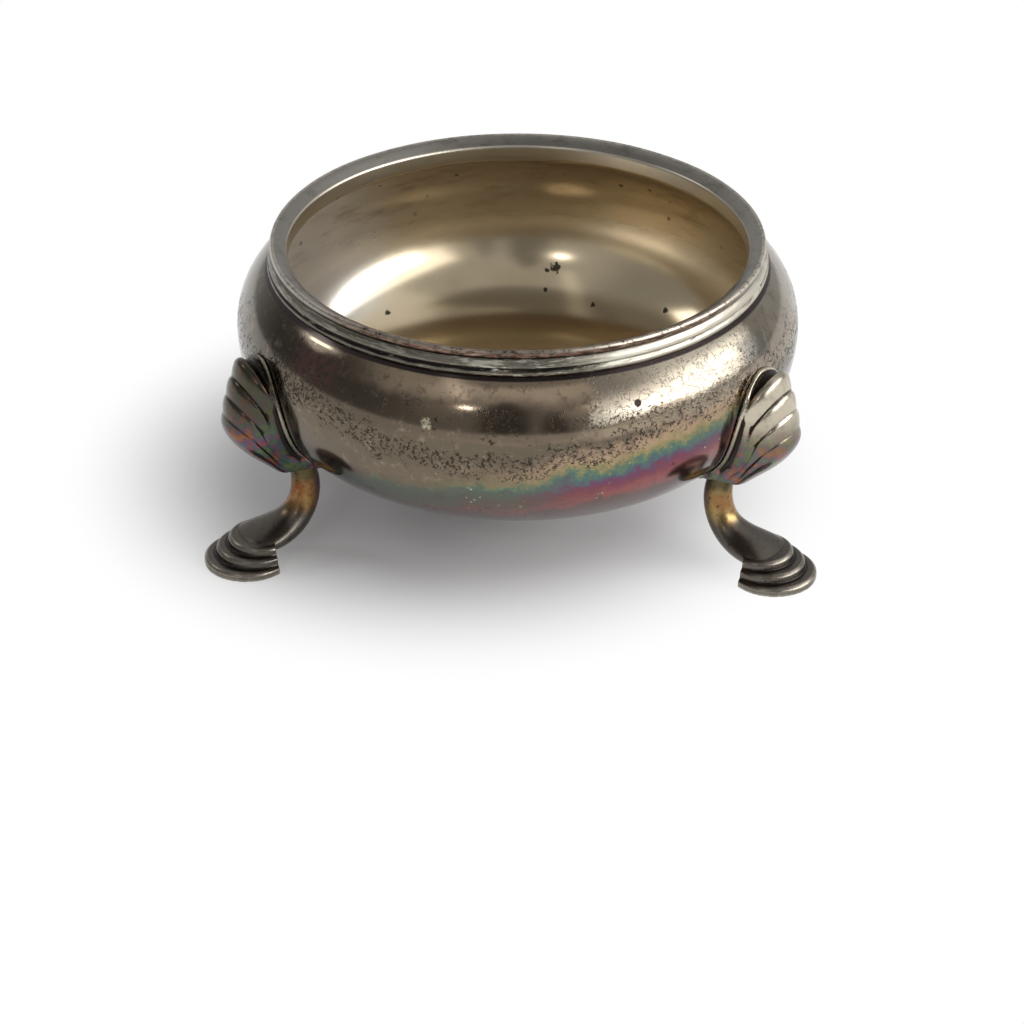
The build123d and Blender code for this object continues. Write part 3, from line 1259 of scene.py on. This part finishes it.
    def build(self) -> bpy.types.Object:
        """Makes the bowl's mesh and dresses its outside, lip and inside.

        Returns:
            The object.
        """
        outside = self.belly(0.0)
        outside[0] = (0.0, outside[0][1])
        outside += straight(outside[-1], (self.neck_radius, self.bend[1]), self.step)[1:]
        outside += [(self.bend[0], self.under_lip)]
        outside += straight(outside[-1], (self.lip_radius, self.under_lip), self.fine_step)[1:]
        edge = (self.lip_radius, self.lip_height)
        outside += bow(outside[-1], edge, -self.lip_round, self.lip_rounds)[1:]
        inside = self.belly(self.sheet_wall, self.throat_round)
        inside[0] = (0.0, inside[0][1])
        lip, throat = self.lip(outside[-1]), self.throat()
        outline = outside + lip + throat + inside[::-1][1:]
        first_lip = len(outside) - self.lip_rounds - 1
        first_inside = len(outside) + len(lip)

        def number(stretch: int) -> int:
            """Number of the finish on a stretch of the outline."""
            return int(stretch >= first_lip) + int(stretch >= first_inside)

        piece = self.spin(outline, False, number)
        for finish in (BowlFinish(), LipFinish(), InsideFinish()):
            piece.data.materials.append(finish.material())
        return piece


@dataclass
class NeckWire(Turned):
    """The moulded wire round the neck: a narrow ovolo over a broad band. Sizes in millimetres."""

    bowl: Optional[Bowl] = None
    name: str = "neck_wire"
    node: str = "rim_moulding"
    slot: Slot = Slot.WIRE
    wave_size: float = 2.5
    wave_depth: float = 0.03
    segments: int = 480
    ovolo_height: float = 0.9
    ovolo_out: float = 0.22
    ovolo_swell: float = 0.1
    groove_height: float = 0.36
    groove_depth: float = 0.1
    band_in: float = 0.03
    band_swell: float = 0.1
    curl_height: float = 0.12
    curl_in: float = 0.12
    curl_swell: float = 0.03
    gap: float = 0.05
    rounds: int = 12
    relief_passes: int = 24

    def build(self) -> bpy.types.Object:
        """Makes the wire's mesh and dresses it.

        Returns:
            The object.
        """
        bowl = self.bowl
        inside = bowl.neck_radius + self.gap
        top = bowl.under_lip - self.gap
        outer = bowl.lip_radius + bowl.lip_round + self.ovolo_out
        ovolo_foot = (outer, top - self.ovolo_height)
        band_head = (outer - self.band_in, ovolo_foot[1] - self.groove_height)
        foot = (outer - self.curl_in, bowl.shoulder_at(-self.gap, outer - self.curl_in))
        band_foot = (outer + self.band_in, foot[1] + self.curl_height)
        outline = [(inside, bowl.shoulder_at(-self.gap, inside))]
        outline += straight(outline[-1], foot, bowl.step)[1:]
        outline += bow(foot, band_foot, -self.curl_swell, self.rounds)[1:]
        outline += bow(band_foot, band_head, -self.band_swell, self.rounds)[1:]
        outline += bow(band_head, ovolo_foot, self.groove_depth, self.rounds)[1:]
        outline += bow(ovolo_foot, (bowl.lip_radius, top), -self.ovolo_swell, self.rounds)[1:]
        outline += [(bowl.bend[0] + self.gap, top), (inside, bowl.bend[1] - self.gap)]
        piece = self.spin(outline, True, lambda stretch: 0)
        mark_relief(piece.data, self.relief_passes)
        piece.data.materials.append(WireFinish().material())
        return piece


@dataclass
class Casting:
    """A cast piece: the CAD solid with its sharp edges and corners rounded as in a casting."""

    node: str
    name: str
    slot: Slot
    grain: float = 0.11
    smoothing: int = 5
    smoothing_share: float = 0.5
    relief_passes: int = 40

    def blank(self) -> bpy.types.Mesh:
        """Copies the CAD mesh.

        Returns:
            The copy, in millimetres.
        """
        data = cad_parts[self.node].data.copy()
        data.transform(Matrix.Scale(1 / MM, 4))
        return data

    def shape(self, data: bpy.types.Mesh) -> None:
        """Leaves the rounded mesh, in millimetres, as it is."""

    def build(self, finish: bpy.types.Material) -> bpy.types.Object:
        """Makes the piece from its CAD node.

        Args:
            finish: Material of the piece.

        Returns:
            The object.
        """
        piece = bpy.data.objects.new(self.name, self.blank())
        bpy.context.scene.collection.objects.link(piece)
        remesh = piece.modifiers.new("cast", "REMESH")
        remesh.mode = "VOXEL"
        remesh.voxel_size = self.grain
        smooth = piece.modifiers.new("round", "SMOOTH")
        smooth.factor = self.smoothing_share
        smooth.iterations = self.smoothing
        cast = piece.evaluated_get(bpy.context.evaluated_depsgraph_get())
        piece.data = bpy.data.meshes.new_from_object(cast)
        piece.modifiers.clear()
        self.shape(piece.data)
        piece.data.transform(Matrix.Scale(MM, 4))
        for face in piece.data.polygons:
            face.use_smooth = True
        mark_relief(piece.data, self.relief_passes)
        piece.data.materials.clear()
        piece.data.materials.append(finish)
        return seat(piece, self.node)


@dataclass
class Knee(Casting):
    """A shell knee, whose lobes are broad and whose grooves stay narrow and shallow up to the tips."""

    bowl: Optional[Bowl] = None
    stand_out: float = 0.5
    fade: float = 0.6
    valley: float = 1.1
    groove_depth: float = 0.62
    sharpness: float = 1.35

    def shape(self, data: bpy.types.Mesh) -> None:
        """Lifts the valleys between the lobes towards the hull round them.

        Args:
            data: The mesh, in millimetres.
        """
        hull = bmesh.new()
        for point in data.vertices:
            if self.bowl.clear_of_belly(point.co) > self.stand_out:
                hull.verts.new(point.co)
        made = bmesh.ops.convex_hull(hull, input=hull.verts)
        loose = {item for item in made["geom_interior"] if isinstance(item, bmesh.types.BMVert)}
        bmesh.ops.delete(hull, geom=list(loose), context="VERTS")
        cover = BVHTree.FromBMesh(hull)
        deepest = 0.0
        for point in data.vertices:
            clear = self.bowl.clear_of_belly(point.co)
            if clear < self.stand_out:
                continue
            way = self.bowl.outwards(point.co)
            hit = cover.ray_cast(point.co, way)[0]
            if hit is None:
                continue
            depth = (hit - point.co).length
            deepest = max(deepest, depth)
            kept = self.groove_depth * min(1.0, depth / self.valley) ** self.sharpness
            share = min(1.0, (clear - self.stand_out) / self.fade)
            point.co += way * max(0.0, depth - kept) * share
        hull.free()
        LOG.info("%s has valleys of %.2f mm", self.name, deepest)


@dataclass
class Legs:
    """The three legs with their shell knees."""

    bowl: Bowl

    def build(self) -> List[bpy.types.Object]:
        """Makes and dresses a knee and a leg at each place.

        Returns:
            The objects.
        """
        pieces = []
        knee_finish, leg_finish = KneeFinish().material(), LegFinish().material()
        for side in Side:
            knee = Knee(f"knee_shell_{side.value}", f"knee_{side.value}", Slot.KNEE, bowl=self.bowl)
            leg = Casting(f"leg_{side.value}", f"cast_leg_{side.value}", Slot.LEG)
            pieces += [knee.build(knee_finish), leg.build(leg_finish)]
        return pieces


@dataclass
class Softbox:
    """One soft lamp, placed round the object by its turn from the front and its height angle."""

    name: str
    turn: float
    elevation: float
    distance: float
    width: float
    height: float
    radiance: float

    def build(self, aim: Vector) -> bpy.types.Object:
        """Hangs the lamp.

        Args:
            aim: Point that it faces.

        Returns:
            The lamp's object.
        """
        lamp = bpy.data.lights.new(self.name, "AREA")
        lamp.shape = "RECTANGLE"
        lamp.size, lamp.size_y = self.width, self.height
        lamp.energy = self.radiance * math.pi * self.width * self.height
        turn, up = math.radians(self.turn), math.radians(self.elevation)
        way = Vector((math.sin(turn) * math.cos(up), -math.cos(turn) * math.cos(up), math.sin(up)))
        piece = bpy.data.objects.new(self.name, lamp)
        piece.location = aim + way * self.distance
        piece.rotation_euler = way.to_track_quat("Z", "Y").to_euler()
        bpy.context.scene.collection.objects.link(piece)
        return piece


@dataclass(frozen=True)
class Stand:
    """A dark thing behind the camera: its middle, half its width and its top, in degrees."""

    turn: float
    half: float
    top: float


@dataclass
class Studio:
    """White floor, a large soft lamp on the right, a dim room with a dark ceiling, and the camera.

    Turns and rises (height angles) are in degrees, as seen from the object.
    """

    floor_size: float = 8.0
    floor_drop: float = 0.02
    floor_colour: Colour = (0.94, 0.94, 0.94)
    floor_rough: float = 0.9
    shadow_mm: Spot = (-8.0, 5.0, 0.0)
    shadow_reach: Range = (22.0, 47.0)
    room: float = 0.46
    rear: float = 0.55
    rear_depth: Range = (0.3, 0.7)
    left_dim: float = 0.4
    left_turn: Span = (-120.0, -60.0, 30.0)
    right: float = 0.8
    right_turn: Span = (75.0, 142.0, 15.0)
    right_rise: Span = (44.0, 68.0, 6.0)
    ceiling: float = 0.2
    ceiling_turn: Span = (-180.0, 70.0, 25.0)
    ceiling_rise: Range = (62.0, 68.0)
    bar: float = 0.4
    bar_side: Spot = (0.957, -0.139, 0.2515)
    bar_width: Span = (-0.035, 0.035, 0.012)
    bar_rise: Range = (42.0, 48.0)
    stand: float = 0.13
    stand_round: float = 12.0
    stand_edge: float = 3.0
    stands: Tuple[Stand, ...] = (Stand(-2.0, 8.0, 46.0), Stand(18.0, 4.0, 34.0))
    focal_px: float = 3600.0
    image_px: float = 1024.0
    sensor_mm: float = 36.0
    eye_mm: Spot = (19.17, -365.78, 212.31)
    pitch: float = 30.43
    yaw: float = 3.102
    lamps: Tuple[Softbox, ...] = (
        Softbox("key", 75.0, 24.0, 0.6, 0.88, 0.37, 1.7),
        Softbox("key_core", 75.0, 22.0, 0.59, 0.55, 0.17, 4.4),
        Softbox("small_front", -18.0, 33.0, 0.6, 0.035, 0.02, 32.0),
        Softbox("left_rear", -104.0, 38.0, 0.6, 0.15, 0.13, 3.0),
    )

    def build_floor(self) -> bpy.types.Object:
        """Lays the floor, which keeps the shadow near the object and is plain white further away.

        Returns:
            The floor.
        """
        mesh = bmesh.new()
        bmesh.ops.create_grid(mesh, x_segments=1, y_segments=1, size=self.floor_size / 2)
        data = bpy.data.meshes.new("floor")
        mesh.to_mesh(data)
        mesh.free()
        floor = bpy.data.objects.new("floor", data)
        floor.location.z = -self.floor_drop * MM
        bpy.context.scene.collection.objects.link(floor)
        material = bpy.data.materials.new("floor")
        material.use_nodes = True
        graph = Graph(material.node_tree)
        shader = graph.node(
            "ShaderNodeBsdfPrincipled",
            sockets={
                "Base Color": self.floor_colour,
                "Roughness": self.floor_rough,
                "Specular IOR Level": 0.0,
            },
        )
        white = graph.node("ShaderNodeEmission", sockets={"Color": (1.0, 1.0, 1.0), "Strength": 1.0})
        place = graph.node("ShaderNodeNewGeometry")
        away = graph.node(
            "ShaderNodeVectorMath",
            {"operation": "DISTANCE"},
            {0: graph.out(place, "Position"), 1: tuple(Vector(self.shadow_mm) * MM)},
        )
        path = graph.node("ShaderNodeLightPath")
        seen = graph.out(path, "Is Camera Ray")
        for ray in ("Is Glossy Ray", "Is Transmission Ray"):
            seen = graph.math("MAXIMUM", seen, graph.out(path, ray))
        share = (graph.out(away, "Value") / MM).above(*self.shadow_reach) * seen
        sockets = {0: share, 1: graph.out(shader), 2: graph.out(white)}
        mixed = graph.node("ShaderNodeMixShader", sockets=sockets)
        graph.node("ShaderNodeOutputMaterial", sockets={"Surface": graph.out(mixed)})
        data.materials.append(material)
        return floor

    def build_world(self) -> None:
        """Makes the light from all round: a dim room with a ceiling, a bright bar and dark stands."""
        world = bpy.data.worlds.new("studio")
        world.use_nodes = True
        bpy.context.scene.world = world
        graph = Graph(world.node_tree)
        way = graph.node("ShaderNodeTexCoord")
        split = graph.node("ShaderNodeSeparateXYZ", sockets={0: graph.out(way, "Generated")})
        across, deep, up = (graph.out(split, axis) for axis in "XYZ")
        turn = graph.math("ARCTAN2", across, deep * -1.0) * math.degrees(1.0)
        rise = graph.math("ARCSINE", up) * math.degrees(1.0)
        level = self.room + deep.above(*self.rear_depth) * (self.rear - self.room)
        level = level * (1.0 - turn.within(*self.left_turn) * self.left_dim)
        right = turn.within(*self.right_turn) * rise.within(*self.right_rise)
        level = level + right * (self.right - self.room)
        overhead = rise.above(*self.ceiling_rise) * turn.within(*self.ceiling_turn)
        level = level * (1.0 - overhead) + overhead * self.ceiling
        side = across * self.bar_side[0] + deep * self.bar_side[1] + up * self.bar_side[2]
        level = level + side.within(*self.bar_width) * rise.above(*self.bar_rise) * self.bar
        soft = self.stand_edge
        for stand in self.stands:
            off = (turn - stand.turn) / stand.half
            crest = (rise + off * off * self.stand_round).above(stand.top + soft, stand.top - soft)
            mask = turn.within(stand.turn - stand.half, stand.turn + stand.half, soft) * crest
            level = level * (1.0 - mask) + mask * self.stand
        light = graph.node("ShaderNodeBackground", sockets={"Color": level, "Strength": 1.0})
        graph.node("ShaderNodeOutputWorld", sockets={"Surface": graph.out(light)})

    def build_camera(self) -> bpy.types.Object:
        """Sets up the camera at the photograph's view.

        Returns:
            The camera.
        """
        data = bpy.data.cameras.new("camera")
        data.sensor_width = self.sensor_mm
        data.lens = self.focal_px / self.image_px * self.sensor_mm
        camera = bpy.data.objects.new("camera", data)
        camera.location = Vector(self.eye_mm) * MM
        camera.rotation_euler = (math.radians(90 - self.pitch), 0.0, math.radians(self.yaw))
        bpy.context.scene.collection.objects.link(camera)
        bpy.context.scene.camera = camera
        return camera

    def build(self) -> None:
        """Sets up floor, light and camera."""
        self.build_floor()
        self.build_world()
        self.build_camera()
        aim = (CAD_BOX[0] + CAD_BOX[1]) / 2
        for lamp in self.lamps:
            lamp.build(aim)
        bpy.context.scene.view_settings.view_transform = "Standard"


def main() -> None:
    """Builds the salt cellar and its studio."""
    logging.basicConfig(level=logging.INFO, format="%(name)s: %(message)s")
    bowl = Bowl()
    bowl.build()
    NeckWire(bowl=bowl).build()
    Legs(bowl).build()
    Studio().build()


if __name__ == "__main__":
    main()
